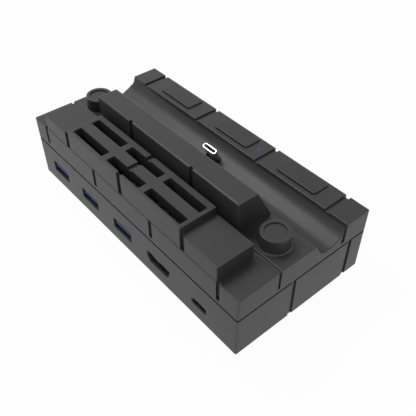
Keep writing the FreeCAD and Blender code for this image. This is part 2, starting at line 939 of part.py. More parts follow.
def plug_board():
    """Small circuit board that carries the console plug."""
    half_x, half_y = plug_board_length / 2, plug_board_width / 2
    board = rounded_box(-half_x, half_x, -half_y, half_y, plug_board_under, plug_foot, board_corner)
    holes = [
        cylinder(plug_screw_radius + hole_clearance, x, 0, plug_board_under - past, plug_foot + past)
        for x in (-plug_boss_x, plug_boss_x)
    ]
    return at_plug(board.cut(holes))


def plug_board_screws():
    """Two screws that hold the plug board to the cover."""
    screws = []
    for x in (-plug_boss_x, plug_boss_x):
        head_z = plug_board_under - plug_screw_head_height
        head = cylinder(plug_screw_head_radius, x, 0, head_z, plug_board_under)
        shank = cylinder(plug_screw_radius, x, 0, plug_board_under, plug_board_under + plug_screw_length)
        screws.append(at_plug(fused([head, shank])))
    return Part.makeCompound(screws)


def upper_ribbon_socket():
    """Extent in depth and height of the socket under the plug board, in the plug's own frame."""
    y0 = -plug_board_width / 2 + ribbon_socket_inset
    return y0, y0 + ribbon_socket_width, plug_board_under - ribbon_socket_height, plug_board_under


def lower_ribbon_socket():
    """Extent in depth and height of the ribbon socket on the main board."""
    y0 = ribbon_socket_y - ribbon_socket_width / 2
    return y0, y0 + ribbon_socket_width, board_top, board_top + ribbon_socket_height


def ribbon_socket(extent):
    """Flat ribbon socket with its entry slot."""
    y0, y1, z0, z1 = extent
    half = ribbon_socket_length / 2
    slot = ribbon_width / 2 + fit_clearance
    middle = (z0 + z1) / 2
    gap = ribbon_thickness / 2 + fit_clearance
    body = box(-half, half, y0, y1, z0, z1)
    end = y0 + ribbon_insert + fit_clearance
    return body.cut(box(-slot, slot, y0 - past, end, middle - gap, middle + gap))


def ribbon_sockets():
    """The two ribbon sockets as one group."""
    upper = at_plug(ribbon_socket(upper_ribbon_socket()))
    return Part.makeCompound([upper, ribbon_socket(lower_ribbon_socket())])


def ribbon():
    """Flat ribbon from the plug board round to the main board."""
    y0, y1, z0, z1 = upper_ribbon_socket()
    middle = (z0 + z1) / 2
    floor_y0, floor_y1, floor_z0, floor_z1 = lower_ribbon_socket()
    floor_middle = (floor_z0 + floor_z1) / 2
    turn_y = from_plug(y0 - ribbon_bow, middle)[0]
    half = ribbon_thickness / 2
    faces = []
    for offset in (half, -half):
        start_y, start_z = from_plug(y0 + ribbon_insert, middle - offset)
        side_y = turn_y + offset
        faces.append([
            (start_y, start_z),
            (side_y, start_z + (side_y - start_y) * seat_slope),
            (side_y, floor_middle + offset),
            (floor_y0 + ribbon_insert, floor_middle + offset),
        ])
    inner, outer = faces
    outer_bend, inner_bend = ribbon_bend + half, ribbon_bend - half
    radii = [0, outer_bend, outer_bend, 0, 0, inner_bend, inner_bend, 0]
    return length_prism(outer + inner[::-1], radii, -ribbon_width / 2, ribbon_width / 2)


def main_board():
    """Circuit board that carries the sockets."""
    board = rounded_box(-board_half_x, board_half_x, board_front_y, board_back_y,
                        board_z, board_top, board_corner)
    low, high = board_z - past, board_top + past
    cuts = [cylinder(boss_radius + board_bite, x, y, low, high) for x, y in boss_places()]
    cuts += [cylinder(board_screw_radius + hole_clearance, x, y, low, high) for x, y in standoff_places()]
    depths = [data_depth, data_depth, data_depth, video_depth, inlet_depth]
    for (outline, x), socket_depth in zip(port_list(), depths):
        cuts += leg_boxes(outline, x, socket_depth, leg_clearance)
    return board.cut(cuts)


def board_screws():
    """Four screws that hold the main board on its standoffs."""
    screws = []
    for x, y in standoff_places():
        head = cylinder(board_screw_head_radius, x, y, board_top, board_top + board_screw_head_height)
        shank = cylinder(board_screw_radius, x, y, board_z - board_screw_grip, board_top)
        screws.append(fused([head, shank]))
    return Part.makeCompound(screws)


def case_screws():
    """Four screws that draw tray and cover together from below."""
    screws = []
    for x, y in boss_places():
        head = cylinder(case_screw_head_radius, x, y, boss_seat_z - case_screw_head_height, boss_seat_z)
        shank = cylinder(case_screw_radius, x, y, boss_seat_z, boss_seat_z + case_screw_length)
        screws.append(fused([head, shank]))
    return Part.makeCompound(screws)


def chip(x, size, low, high):
    """Square circuit on the main board, or the soft pad on top of it."""
    half = size / 2
    return box(x - half, x + half, chip_y - half, chip_y + half, low, high)


def chip_list():
    """Name, place and size of the three main circuits."""
    return [
        ("hub_chip", hub_chip_x, hub_chip_size),
        ("display_chip", display_chip_x, display_chip_size),
        ("power_chip", power_chip_x, power_chip_size),
    ]


def thermal_pads():
    """Soft pads between the circuits and the heat spreader."""
    low = board_top + chip_height
    return Part.makeCompound([chip(x, size, low, pad_top_z) for name, x, size in chip_list()])


def heat_spreader():
    """Slotted plate over the three circuits, under the vent slots."""
    x0 = hub_chip_x - hub_chip_size / 2 - spreader_overhang
    x1 = power_chip_x + power_chip_size / 2 + spreader_overhang
    half = spreader_width / 2
    top = pad_top_z + spreader_thickness
    plate = rounded_box(x0, x1, chip_y - half, chip_y + half, pad_top_z, top, spreader_corner)
    count = int((x1 - x0 - spreader_slot_pitch) / spreader_slot_pitch)
    first = (x0 + x1) / 2 - (count - 1) * spreader_slot_pitch / 2
    wide, deep = spreader_slot_width / 2, spreader_slot_length / 2
    slots = []
    for i in range(count):
        x = first + i * spreader_slot_pitch
        slots.append(box(x - wide, x + wide, chip_y - deep, chip_y + deep, pad_top_z - past, top + past))
    return plate.cut(slots)


def coils():
    """Power coils as one group."""
    half = coil_size / 2
    solids = []
    for i in range(coil_count):
        x = coil_x + i * coil_pitch
        solids.append(rounded_box(x - half, x + half, coil_y - half, coil_y + half,
                                  board_top, board_top + coil_height, coil_corner))
    return Part.makeCompound(solids)


def capacitors():
    """Round capacitors as one group."""
    top = board_top + capacitor_height
    solids = []
    for i in range(capacitor_count):
        solid = cylinder(capacitor_radius, capacitor_x + i * capacitor_pitch, capacitor_y, board_top, top)
        solids.append(solid.makeFillet(capacitor_edge, edges_where(solid, lambda p: p.z > top - near)))
    return Part.makeCompound(solids)


def status_led():
    """Light source under the light guide."""
    return box(light_x - led_length / 2, light_x + led_length / 2, light_y - led_width / 2,
               light_y + led_width / 2, board_top, board_top + led_height)


def light_guide():
    """Clear rod that brings the status light up to the lip."""
    rod = cylinder(light_rod_radius, light_x, light_y, board_top + led_height + light_gap, deck_z - skin)
    tip = cylinder(light_tip_radius, light_x, light_y, deck_z - skin, deck_z)
    return fused([rod, tip])


def housing():
    """Pieces of the housing by name."""
    result = {
        "upper_cover": upper_cover(),
        "lower_case": lower_case(),
        "case_screws": case_screws(),
        "post_left": post(-post_x),
        "post_right": post(post_x),
        "light_guide": light_guide(),
    }
    for side, x in zip(("left", "centre", "right"), pad_places()):
        result["lip_pad_" + side] = lip_pad(x)
    for side, (x, y) in zip(("left_back", "left_front", "right_back", "right_front"), foot_places()):
        result["foot_" + side] = foot(x, y)
    return result


def sockets():
    """Shells and tongues of the five sockets by name."""
    ports = port_list()
    result = {}
    for side, (outline, x) in zip(("left", "middle", "right"), ports):
        result["data_shell_" + side] = socket_shell(outline, x, data_depth)
        result["data_tongue_" + side] = socket_tongue(outline, x, data_depth, data_tongue_width,
                                                      data_tongue_thickness, data_tongue_drop)
    outline, x = ports[3]
    drop = centred_drop(video_opening, video_tongue_thickness)
    result["video_shell"] = socket_shell(outline, x, video_depth)
    result["video_tongue"] = socket_tongue(outline, x, video_depth, video_tongue_width,
                                           video_tongue_thickness, drop)
    outline, x = ports[4]
    drop = centred_drop(inlet_opening, inlet_tongue_thickness)
    result["inlet_shell"] = socket_shell(outline, x, inlet_depth)
    result["inlet_tongue"] = socket_tongue(outline, x, inlet_depth, inlet_tongue_width,
                                           inlet_tongue_thickness, drop)
    return result


def inner_pieces():
    """Console plug, boards and what they carry, by name."""
    result = {
        "plug_shell": plug_shell(),
        "plug_core": plug_core(),
        "plug_base": plug_base(),
        "plug_board": plug_board(),
        "plug_board_screws": plug_board_screws(),
        "ribbon_sockets": ribbon_sockets(),
        "ribbon": ribbon(),
        "main_board": main_board(),
        "board_screws": board_screws(),
        "thermal_pads": thermal_pads(),
        "heat_spreader": heat_spreader(),
        "coils": coils(),
        "capacitors": capacitors(),
        "status_led": status_led(),
    }
    for name, x, size in chip_list():
        result[name] = chip(x, size, board_top, board_top + chip_height)
    return result


os.makedirs("parts", exist_ok=True)
for pieces in (housing(), sockets(), inner_pieces()):
    for name, shape in pieces.items():
        shape.exportStep("parts/" + name + ".step")
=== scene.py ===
import json
import math
from collections import namedtuple

import bmesh
import bpy
from bpy.props import FloatProperty, FloatVectorProperty, IntProperty, PointerProperty
from mathutils import Matrix, Vector


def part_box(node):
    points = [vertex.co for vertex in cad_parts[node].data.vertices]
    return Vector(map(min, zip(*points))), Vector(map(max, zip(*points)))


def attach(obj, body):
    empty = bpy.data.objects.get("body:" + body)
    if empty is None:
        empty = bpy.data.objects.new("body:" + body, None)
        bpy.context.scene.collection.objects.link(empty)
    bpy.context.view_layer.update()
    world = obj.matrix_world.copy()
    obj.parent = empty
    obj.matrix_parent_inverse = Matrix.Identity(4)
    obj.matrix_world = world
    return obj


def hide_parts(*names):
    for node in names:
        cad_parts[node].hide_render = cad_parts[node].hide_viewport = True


bl_info = {
    "name": "Handheld console dock",
    "version": (1, 0, 0),
    "blender": (4, 5, 0),
    "location": "3D View > Sidebar > Console dock",
    "description": "Finishes, socket springs, contacts and screws of a handheld console dock",
    "category": "Object",
}

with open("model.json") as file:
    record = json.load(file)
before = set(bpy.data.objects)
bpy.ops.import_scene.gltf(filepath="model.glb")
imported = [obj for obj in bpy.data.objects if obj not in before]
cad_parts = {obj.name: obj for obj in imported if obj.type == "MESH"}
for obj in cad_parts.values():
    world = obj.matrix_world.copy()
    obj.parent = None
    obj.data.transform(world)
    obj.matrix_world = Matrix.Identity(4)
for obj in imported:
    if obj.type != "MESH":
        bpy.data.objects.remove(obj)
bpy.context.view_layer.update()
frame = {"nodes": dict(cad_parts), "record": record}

BODY = "root"
MM = 0.001
SAME_PLACE = 0.0005 * MM
WHITE = (1.0, 1.0, 1.0, 1.0)
LATHE_STEPS = 28

# Sockets of the colour mix node, several of which share one name
MIX_FIRST, MIX_SECOND, MIX_RESULT = 6, 7, 2

Front = namedtuple("Front", "x width y low high")


class Value:
    """A socket of a node tree; sums written with it add the maths nodes."""

    def __init__(self, tree, socket):
        self.tree = tree
        self.socket = socket

    def __add__(self, other):
        return self.tree.maths("ADD", self, other)

    def __radd__(self, other):
        return self.tree.maths("ADD", other, self)

    def __sub__(self, other):
        return self.tree.maths("SUBTRACT", self, other)

    def __rsub__(self, other):
        return self.tree.maths("SUBTRACT", other, self)

    def __mul__(self, other):
        return self.tree.maths("MULTIPLY", self, other)

    def __gt__(self, other):
        return self.tree.maths("GREATER_THAN", self, other)

    def __lt__(self, other):
        return self.tree.maths("LESS_THAN", self, other)

    def __abs__(self):
        return self.tree.maths("ABSOLUTE", self)


class Tree:
    """Node tree of a material, the world or a geometry modifier, written as calls."""

    def __init__(self, tree):
        self.tree = tree

    def add(self, kind, settings=None, sockets=None, output=0):
        """Makes one node: its settings first, then its sockets; gives one of its outputs."""
        node = self.tree.nodes.new(kind)
        for name, value in (settings or {}).items():
            setattr(node, name, value)
        for key, value in (sockets or {}).items():
            if isinstance(value, Value):
                self.tree.links.new(value.socket, node.inputs[key])
            else:
                node.inputs[key].default_value = value
        return Value(self, node.outputs[output]) if node.outputs else None

    def maths(self, operation, first, second=0.0):
        """Result of one sum on one or two numbers."""
        return self.add("ShaderNodeMath", {"operation": operation}, {0: first, 1: second})

    def spread(self, noise, low, high):
        """Number that goes from low to high as a noise or a mask goes from 0 to 1."""
        return low + noise * (high - low)

    def place(self, stretch=(1.0, 1.0, 1.0)):
        """Object coordinates, pulled out along the axes."""
        here = self.add("ShaderNodeTexCoord", output="Object")
        return self.add("ShaderNodeMapping", sockets={"Vector": here, "Scale": stretch})

    def noise(self, where, size, detail=3.0):
        """Noise whose patches measure about one size, in metres."""
        sockets = {"Vector": where, "Scale": 1 / size, "Detail": detail}
        return self.add("ShaderNodeTexNoise", sockets=sockets)

    def axis(self, where, name):
        """One coordinate, X, Y or Z, of a point or a direction."""
        return self.add("ShaderNodeSeparateXYZ", sockets={0: where}, output=name)

    def stripes(self, coordinate, pitch, gap):
        """1 on equal stripes and 0 between them; the gap is a share of the pitch."""
        return self.maths("FLOORED_MODULO", coordinate, pitch) > gap * pitch

    def scaled(self, colour, factor):
        """Colour made lighter or darker by a factor."""
        settings = {"operation": "SCALE"}
        return self.add("ShaderNodeVectorMath", settings, {0: colour, "Scale": factor})

    def blend(self, factor, first, second):
        """Colour between two colours."""
        sockets = {0: factor, MIX_FIRST: first, MIX_SECOND: second}
        return self.add("ShaderNodeMix", {"data_type": "RGBA"}, sockets, output=MIX_RESULT)

    def bump(self, height, distance):
        """Surface direction over a relief of a real height, in metres."""
        sockets = {"Strength": 1.0, "Distance": distance, "Height": height}
        return self.add("ShaderNodeBump", sockets=sockets)

    def surface(self, **sockets):
        """Closes a material with a surface; a name such as Base_Color stands for Base Color."""
        named = {name.replace("_", " "): value for name, value in sockets.items()}
        shader = self.add("ShaderNodeBsdfPrincipled", sockets=named)
        self.add("ShaderNodeOutputMaterial", sockets={"Surface": shader})

    def rounded_edges(self, lean):
        """0 on flat faces that look along an axis or in one given direction, up to 1 on edges."""
        rise = 4.0
        turned = self.add("ShaderNodeTexCoord", output="Normal")
        best = 0.0
        for name in "XYZ":
            best = self.maths("MAXIMUM", abs(self.axis(turned, name)), best)
        settings, sockets = {"operation": "DOT_PRODUCT"}, {0: turned, 1: lean}
        facing = self.add("ShaderNodeVectorMath", settings, sockets, output="Value")
        best = self.maths("MAXIMUM", facing, best)
        return self.maths("MINIMUM", (1.0 - best) * rise, 1.0)


def new_material(name):
    """New material and its empty tree."""
    material = bpy.data.materials.new(name)
    material.use_nodes = True
    material.node_tree.nodes.clear()
    return material, Tree(material.node_tree)


def rgba(colour):
    """Colour with full cover."""
    return (*colour, 1.0)


def moulded_plastic(name, colour, surface):
    """Satin moulded plastic: fine spark-eroded grain, slow changes of sheen, a painted highlight on
    the edges, which are also less rough.
    """
    grain_shade, grain_roughness, edge_polish = 0.04, 0.06, 0.2
    material, tree = new_material(name)
    here = tree.place()
    grain = tree.noise(here, surface.grain_size)
    cloud = tree.noise(here, surface.cloud_size)
    depth = tree.axis(here, "Y")
    outside_trough = (depth < surface.trough_front) + (depth > surface.trough_back)
    lean = (0.0, math.sin(surface.back_angle), math.cos(surface.back_angle))
    # Painted highlight: rounded edges outside the trough get a lighter colour; the same mask also
    # lowers their roughness.
    edge = tree.rounded_edges(lean) * outside_trough * surface.edge_light
    shade = tree.spread(cloud, 0.92, 1.04) + grain * grain_shade + edge
    sheen = tree.spread(cloud, -0.06, 0.02) + grain * grain_roughness - edge * edge_polish
    tree.surface(Base_Color=tree.scaled(colour, shade), Roughness=surface.roughness + sheen,
                 IOR=surface.ior, Normal=tree.bump(grain, surface.grain_depth))
    return material


def round_plastic(name, colour, surface):
    """Moulded plastic of a round piece, with a painted highlight on the rim between its side and
    its top.
    """
    side_limit, top_limit = 0.3, 0.97
    rim_light, grain_roughness = 0.5, 0.06
    material, tree = new_material(name)
    grain = tree.noise(tree.place(), surface.grain_size)
    upward = tree.axis(tree.add("ShaderNodeTexCoord", output="Normal"), "Z")
    # Painted highlight: the rim between the side and the top is made lighter.
    rim_highlight = (upward > side_limit) * (upward < top_limit)
    shade = tree.spread(grain, 0.98, 1.06) + rim_highlight * rim_light
    tree.surface(Base_Color=tree.scaled(colour, shade),
                 Roughness=surface.roughness + grain * grain_roughness,
                 IOR=surface.ior, Normal=tree.bump(grain, surface.grain_depth))
    return material


def soft_rubber(name, colour, surface):
    """Matt rubber with a skin somewhat coarser than the plastic's grain."""
    coarser, deeper = 1.4, 1.5
    material, tree = new_material(name)
    grain = tree.noise(tree.place(), surface.grain_size * coarser, detail=4.0)
    tree.surface(Base_Color=tree.scaled(colour, tree.spread(grain, 0.85, 1.15)),
                 Roughness=tree.spread(grain, 0.72, 0.88),
                 Normal=tree.bump(grain, surface.grain_depth * deeper))
    return material


def gloss_plastic(name, colour, roughness, ior=1.5):
    """Smooth moulded plastic with a few faint flow marks."""
    mark_width, mark_depth, mark_roughness = 0.9 * MM, 0.004 * MM, 0.1
    material, tree = new_material(name)
    flow = tree.noise(tree.place((1.0, 0.2, 1.0)), mark_width)
    tree.surface(Base_Color=tree.scaled(colour, tree.spread(flow, 0.85, 1.15)),
                 Roughness=roughness + flow * mark_roughness,
                 IOR=ior, Normal=tree.bump(flow, mark_depth))
    return material


def drawn_metal(name, colour, roughness, stretch=(1.0, 1.0, 1.0)):
    """Metal with the fine drawing lines of its sheet, pulled out where the stretch is below 1."""
    line_width, line_depth, line_roughness = 0.12 * MM, 0.003 * MM, 0.1
    stain_size, stain_shade, stain_roughness = 2.5 * MM, 0.2, 0.08
    material, tree = new_material(name)
    lines = tree.noise(tree.place(stretch), line_width, detail=4.0)
    stain = tree.noise(tree.place(), stain_size)
    shade = tree.spread(lines, 0.8, 1.0) + stain * stain_shade
    tree.surface(Base_Color=tree.scaled(colour, shade), Metallic=1.0,
                 Roughness=roughness + lines * line_roughness + stain * stain_roughness,
                 Normal=tree.bump(lines, line_depth))
    return material


def circuit_board_finish(name, colour, copper):
    """Lacquered laminate over copper runs, with plated pads."""
    cell_size, run_pitch, run_gap, run_height = 6 * MM, 0.9 * MM, 0.45, 0.02 * MM
    pad_spacing, pad_share = 3.1 * MM, 0.12
    material, tree = new_material(name)
    here = tree.place()
    settings, sockets = {"operation": "SNAP"}, {0: here, 1: (cell_size, cell_size, 1.0)}
    cell = tree.add("ShaderNodeVectorMath", settings, sockets)
    chosen = tree.add("ShaderNodeTexWhiteNoise", sockets={"Vector": cell}) > 0.5
    across = tree.stripes(tree.axis(here, "X"), run_pitch, run_gap)
    along = tree.stripes(tree.axis(here, "Y"), run_pitch, run_gap)
    runs = across * chosen + along * (1.0 - chosen)
    sockets = {"Vector": here, "Scale": 1 / pad_spacing}
    pads = tree.add("ShaderNodeTexVoronoi", sockets=sockets) < pad_share
    lacquer = tree.scaled(colour, tree.spread(runs, 0.75, 1.35))
    tree.surface(Base_Color=tree.blend(pads, lacquer, rgba(copper)), Metallic=pads,
                 Roughness=tree.spread(runs, 0.32, 0.38), Normal=tree.bump(runs, run_height))
    return material


def chip_finish(name, colour):
    """Dull moulded circuit body with a fine sandy skin."""
    sand_size, sand_depth = 0.08 * MM, 0.01 * MM
    material, tree = new_material(name)
    sand = tree.noise(tree.place(), sand_size)
    tree.surface(Base_Color=tree.scaled(colour, tree.spread(sand, 0.7, 1.3)),
                 Roughness=tree.spread(sand, 0.55, 0.7), Normal=tree.bump(sand, sand_depth))
    return material


def ribbon_finish(name, colour, copper):
    """Pale film with copper lines that show through along the ribbon."""
    line_pitch, line_gap, line_height, haze_size = 0.5 * MM, 0.5, 0.02 * MM, 1.5 * MM
    material, tree = new_material(name)
    here = tree.place()
    lines = tree.stripes(tree.axis(here, "X"), line_pitch, line_gap)
    haze = tree.noise(here, haze_size, detail=2.0)
    cover = lines * tree.spread(haze, 0.3, 0.7)
    tree.surface(Base_Color=tree.blend(cover, rgba(colour), rgba(copper)),
                 Roughness=tree.spread(haze, 0.25, 0.4), Normal=tree.bump(lines, line_height))
    return material


def light_guide_finish(name, colour, glow, glow_from, strength):
    """Clear rod whose tip glows above a given height."""
    cloud_size = 0.6 * MM
    material, tree = new_material(name)
    here = tree.place()
    cloud = tree.noise(here, cloud_size, detail=2.0)
    lit = (tree.axis(here, "Z") > glow_from) * tree.spread(cloud, 0.8, 1.2)
    tree.surface(Base_Color=tree.scaled(colour, tree.spread(cloud, 0.9, 1.1)),
                 Roughness=tree.spread(cloud, 0.2, 0.3),
                 Emission_Color=tree.scaled(glow, lit), Emission_Strength=strength)
    return material


def dress(slot, material):
    """Gives a finish to every modelled node of one material slot."""
    for part in frame["record"]["subparts"]:
        if part["material_slot"] == slot:
            for place in frame["nodes"][part["node"]].material_slots:
                place.material = material


def add_object(name, data):
    """New object in the scene."""
    made = bpy.data.objects.new(name, data)
    bpy.context.scene.collection.objects.link(made)
    return made


def new_piece(name, mesh):
    """Piece of the dock from a finished mesh."""
    piece = add_object(name, mesh)
    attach(piece, BODY)
    return piece


def applied(holder, name):
    """Mesh that an object shows with its modifiers; the object itself is taken away."""
    bpy.context.view_layer.update()
    graph = bpy.context.evaluated_depsgraph_get()
    mesh = bpy.data.meshes.new_from_object(holder.evaluated_get(graph))
    mesh.name = name
    bpy.data.objects.remove(holder)
    return mesh


def geometry_tree(name, inputs):
    """Empty geometry tree with named inputs, and the sockets that give them."""
    group = bpy.data.node_groups.new(name, "GeometryNodeTree")
    geometry = "NodeSocketGeometry"
    group.interface.new_socket("Geometry", in_out="OUTPUT", socket_type=geometry)
    group.interface.new_socket("Geometry", in_out="INPUT", socket_type=geometry)
    for label, kind in inputs.items():
        group.interface.new_socket(label, in_out="INPUT", socket_type="NodeSocket" + kind)
    tree = Tree(group)
    entry = tree.add("NodeGroupInput").socket.node
    given = {socket.name: Value(tree, socket) for socket in entry.outputs if socket.name}
    return group, tree, given


def close_tree(tree, instances, material):
    """Ends a geometry tree with plain mesh in one material."""
    plain = tree.add("GeometryNodeRealizeInstances", sockets={"Geometry": instances})
    sockets = {"Geometry": plain, "Material": material}
    dressed = tree.add("GeometryNodeSetMaterial", sockets=sockets)
    tree.add("NodeGroupOutput", sockets={"Geometry": dressed})


def built_mesh(name, group, values, start=None):
    """Plain mesh that a geometry tree makes from a start mesh and its inputs."""
    holder = add_object(name + "_holder", start or bpy.data.meshes.new(name))
    modifier = holder.modifiers.new(name, "NODES")
    modifier.node_group = group
    for item in group.interface.items_tree:
        if item.in_out == "INPUT" and item.name in values:
            modifier[item.identifier] = values[item.name]
    return applied(holder, name)


def strip_row_tree():
    """Row of equal spring strips, each swept along one bent path."""
    group, tree, given = geometry_tree("strip_row", {
        "Count": "Int", "Pitch": "Float", "Width": "Float", "Thickness": "Float",
        "Start": "Vector", "Bend": "Vector", "End": "Vector", "Place": "Vector",
        "Turn": "Vector", "Material": "Material",
    })
    path = tree.add("GeometryNodeCurveQuadraticBezier", sockets={
        "Resolution": 7, "Start": given["Start"], "Middle": given["Bend"], "End": given["End"]})
    path = tree.add("GeometryNodeSetCurveNormal", {"mode": "Z_UP"}, {"Curve": path})
    section = tree.add("GeometryNodeCurvePrimitiveQuadrilateral", sockets={
        "Width": given["Width"], "Height": given["Thickness"]})
    strip = tree.add("GeometryNodeCurveToMesh", sockets={
        "Curve": path, "Profile Curve": section, "Fill Caps": True})
    step = tree.add("ShaderNodeCombineXYZ", sockets={"X": given["Pitch"]})
    half_row = (given["Count"] - 1.0) * given["Pitch"] * -0.5
    first = tree.add("ShaderNodeCombineXYZ", sockets={"X": half_row})
    line = tree.add("GeometryNodeMeshLine", {"mode": "OFFSET"}, {
        "Count": given["Count"], "Start Location": first, "Offset": step})
    row = tree.add("GeometryNodeInstanceOnPoints", sockets={"Points": line, "Instance": strip})
    placed = tree.add("GeometryNodeTransform", sockets={
        "Geometry": row, "Translation": given["Place"], "Rotation": given["Turn"]})
    close_tree(tree, placed, given["Material"])
    return group


def strips(name, material, count, pitch, size, path, place, turn=(0.0, 0.0, 0.0)):
    """Mesh of a row of strips: size is width and thickness, path is start, bend and end."""
    width, thickness = size
    start, bend, end = path
    return built_mesh(name, bpy.data.node_groups["strip_row"], {
        "Count": count, "Pitch": pitch, "Width": width, "Thickness": thickness,
        "Start": start, "Bend": bend, "End": end, "Place": tuple(place), "Turn": turn,
        "Material": material})


def copies_tree():
    """Copies of one piece at the points of a start mesh, all turned the same way."""
    group, tree, given = geometry_tree("copies", {
        "Piece": "Object", "Turn": "Vector", "Material": "Material"})
    sockets = {"Object": given["Piece"]}
    piece = tree.add("GeometryNodeObjectInfo", sockets=sockets, output="Geometry")
    row = tree.add("GeometryNodeInstanceOnPoints", sockets={
        "Points": given["Geometry"], "Instance": piece, "Rotation": given["Turn"]})
    close_tree(tree, row, given["Material"])
    return group


def node_points(name):
    """Corner points of a modelled node."""
    return [vertex.co for vertex in frame["nodes"][name].data.vertices]


def front_of(name):
    """Middle, width, depth place and height range of a node's face on the socket side."""
    points = node_points(name)
    y = min(p.y for p in points)
    face = [p for p in points if p.y < y + 0.01 * MM]
    low, high = min(p.z for p in face), max(p.z for p in face)
    left, right = min(p.x for p in face), max(p.x for p in face)
    return Front((left + right) / 2, right - left, y, low, high)


def mesh_of(shape, name, materials=()):
    """Mesh from a shape under construction, which is let go."""
    mesh = bpy.data.meshes.new(name)
    for material in materials:
        mesh.materials.append(material)
    shape.to_mesh(mesh)
    shape.free()
    return mesh


def joined(meshes, name):
    """One mesh from several."""
    whole = bmesh.new()
    for mesh in meshes:
        whole.from_mesh(mesh)
    return mesh_of(whole, name, meshes[0].materials)


def ring_mesh(rings, name, materials=()):
    """Closed mesh through rings of equally many corners, from the first ring to the last."""
    shape = bmesh.new()
    loops = [[shape.verts.new(corner) for corner in ring] for ring in rings]
    shape.faces.new(loops[0])
    shape.faces.new(loops[-1])
    for near, far in zip(loops, loops[1:]):
        for i in range(len(near)):
            after = (i + 1) % len(near)
            shape.faces.new((near[i], near[after], far[after], far[i]))
    bmesh.ops.recalc_face_normals(shape, faces=shape.faces)
    return mesh_of(shape, name, materials)


def lathed(profile, name):
    """Mesh turned about the upright axis from a profile of radius and height."""
    shape = bmesh.new()
    points = [shape.verts.new((radius, 0.0, z)) for radius, z in profile]
    edges = [shape.edges.new(pair) for pair in zip(points, points[1:])]
    bmesh.ops.spin(shape, geom=points + edges, cent=(0, 0, 0), axis=(0, 0, 1),
                   angle=2 * math.pi, steps=LATHE_STEPS, use_merge=True)
    bmesh.ops.remove_doubles(shape, verts=shape.verts, dist=SAME_PLACE)
    bmesh.ops.recalc_face_normals(shape, faces=shape.faces)
    return mesh_of(shape, name)


def cross_cutter(reach, half_width, depth, top):
    """Tapered cross that presses the driver recess into a screw head."""
    wide, narrow = 1.35, 0.55
    corners = []
    for turn in range(4):
        spin = Matrix.Rotation(turn * math.pi / 2, 3, "Z")
        for x, y in ((half_width, half_width), (reach, half_width), (reach, -half_width)):
            corners.append(spin @ Vector((x, y, 0)))
    order = sorted(corners, key=lambda p: math.atan2(p.y, p.x))
    levels = ((top + depth, wide), (top - depth, narrow))
    rings = [[(p.x * scale, p.y * scale, z) for p in order] for z, scale in levels]
    return ring_mesh(rings, "cross")


def put_in_order(mesh):
    """Sorts corners and faces by their places, because a cut leaves them in a chance order."""
    places = [tuple(vertex.co) for vertex in mesh.vertices]
    order = sorted(range(len(places)), key=places.__getitem__)
    rank = {old: new for new, old in enumerate(order)}
    faces = []
    for face in mesh.polygons:
        ring = [rank[corner] for corner in face.vertices]
        first = ring.index(min(ring))
        faces.append(ring[first:] + ring[:first])
    mesh.clear_geometry()
    mesh.from_pydata([places[old] for old in order], [], sorted(faces))


def screw_profile(head_radius, head_height, shank_radius, shank_length, pitch):
    """Radius and height from the top of a pan head down to the tip of its threaded shank."""
    crown, crown_radius, crown_steps = 0.25 * head_height, 0.9 * head_radius, 4
    shoulder = head_height - 1.6 * crown
    root = 0.8 * shank_radius
    thread = ((root, 0.0), (shank_radius, 0.35), (shank_radius, 0.45), (root, 0.8))
    runout, tip_taper, tip_radius = 1.5 * pitch, 0.6 * pitch, 0.6 * root
    profile = [(0.0, head_height)]
    for i in range(1, crown_steps + 1):
        share = i / crown_steps
        profile.append((crown_radius * share, head_height - crown * share * share))
    profile += [(head_radius, shoulder), (head_radius, 0.0), (root, 0.0)]
    z = -pitch
    while z > runout - shank_length:
        profile += [(radius, z - share * pitch) for radius, share in thread]
        z -= pitch
    profile += [(root, tip_taper - shank_length), (tip_radius, -shank_length)]
    return profile + [(0.0, -shank_length)]


def screw_mesh(name, head_radius, head_height, shank_radius, shank_length, pitch):
    """Pan head screw with cross recess and thread; its seat is at height 0, the head above."""
    profile = screw_profile(head_radius, head_height, shank_radius, shank_length, pitch)
    reach, half_width, depth = 0.5 * head_radius, 0.13 * head_radius, 0.55 * head_height
    body = add_object(name, lathed(profile, name))
    cutter = add_object("recess", cross_cutter(reach, half_width, depth, head_height))
    cut = body.modifiers.new("recess", "BOOLEAN")
    cut.operation = "DIFFERENCE"
    cut.solver = "EXACT"
    cut.object = cutter
    finished = applied(body, name)
    bpy.data.objects.remove(cutter)
    put_in_order(finished)
    return finished


def loose_groups(name):
    """Corner points of each separate solid of a node, always in the same order."""
    shape = bmesh.new()
    shape.from_mesh(frame["nodes"][name].data)
    bmesh.ops.remove_doubles(shape, verts=shape.verts, dist=SAME_PLACE)
    groups, seen = [], set()
    for first in shape.verts:
        if first in seen:
            continue
        seen.add(first)
        front, group = [first], []
        while front:
            here = front.pop()
            group.append(here.co.copy())
            for edge in here.link_edges:
                other = edge.other_vert(here)
                if other not in seen:
                    seen.add(other)
                    front.append(other)
        groups.append(group)
    shape.free()
    return groups


